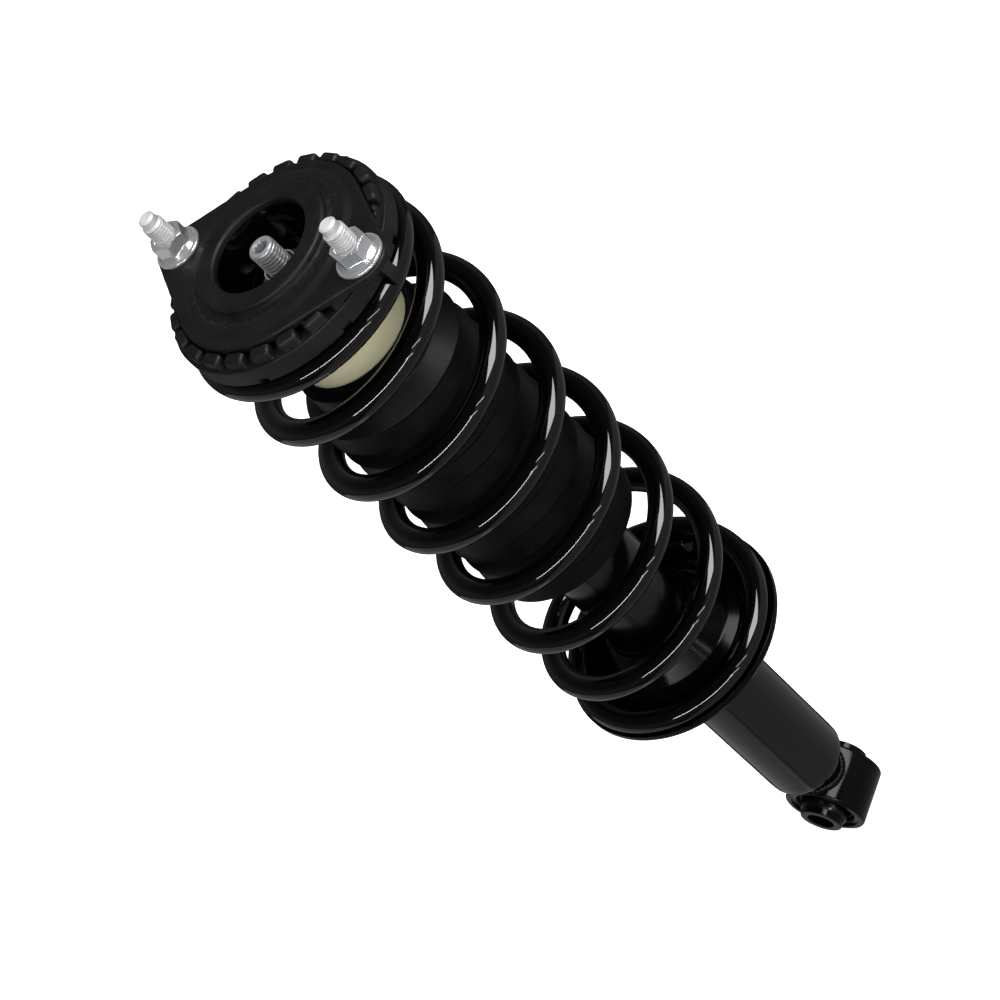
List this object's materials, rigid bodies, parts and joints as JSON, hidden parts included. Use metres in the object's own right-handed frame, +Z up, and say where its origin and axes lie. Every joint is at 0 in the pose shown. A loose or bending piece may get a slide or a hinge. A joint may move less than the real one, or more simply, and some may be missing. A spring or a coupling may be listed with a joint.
{
  "type": "coil-over strut",
  "caption": "Coil-over strut: twin-tube damper in a coil spring, with a dust boot, a stud-mounted top plate and a rubber-bushed lower eye.",
  "frame": {"origin": "centre of the lower eye's bore", "axes": "+Z up the damper's axis to the top mount, X along the lower eye's bore"},
  "size_m": [0.114, 0.1332, 0.529],
  "materials": {
    "black_paint": "satin black cathodic paint",
    "gloss_black": "gloss black powder coat",
    "plate_black": "matt black phosphate and paint",
    "zinc_bright": "bright zinc plate",
    "zinc_matt": "matt zinc flake",
    "steel": "machined steel",
    "rod_chrome": "ground hard chrome",
    "sinter": "sintered iron",
    "bronze": "bronze with PTFE lining",
    "rubber": "moulded natural rubber",
    "boot_rubber": "matt thermoplastic rubber",
    "urethane": "cream microcellular urethane",
    "ptfe": "filled PTFE"
  },
  "bodies": {
    "top_mount": {"mount_plate": "plate_black", "mount_studs": "zinc_matt", "mount_nuts": "zinc_bright", "mount_rubber": "rubber", "mount_cup": "gloss_black", "upper_spring_seat": "black_paint", "upper_insulator": "rubber", "rod_nut": "zinc_bright", "rod_washers": "steel", "bump_stop_cup": "black_paint", "bump_stop": "urethane", "dust_boot": "boot_rubber", "coil_spring": "gloss_black", "piston_rod": "rod_chrome", "rebound_stop": "rubber", "rebound_retainer": "steel", "piston": "sinter", "piston_band": "ptfe", "valve_shims": "steel", "piston_nut": "steel"},
    "damper_tube": {"bump_cap": "black_paint", "outer_tube": "black_paint", "inner_tube": "steel", "rod_guide": "sinter", "guide_bush": "bronze", "rod_seal": "rubber", "base_valve": "sinter", "tube_base": "black_paint", "lower_spring_seat": "gloss_black", "lower_eye": "black_paint", "eye_weld": "black_paint", "bush_shell": "black_paint", "bush_rubber": "rubber"},
    "bush_sleeve": {"bush_sleeve": "black_paint"}
  },
  "joints": [
    {"name": "damper_stroke", "type": "slide", "parent": "top_mount", "child": "damper_tube", "axis": [0, 0, 1], "range_m": [0, 0.12], "stiffness_N_per_m": 28000, "deforming": ["coil_spring", "dust_boot", "bump_stop"]},
    {"name": "bush_twist", "type": "hinge", "parent": "damper_tube", "child": "bush_sleeve", "pos_m": [0, 0, 0], "axis": [1, 0, 0], "range_deg": [-20, 20], "stiffness_Nm_per_rad": 60}
  ]
}
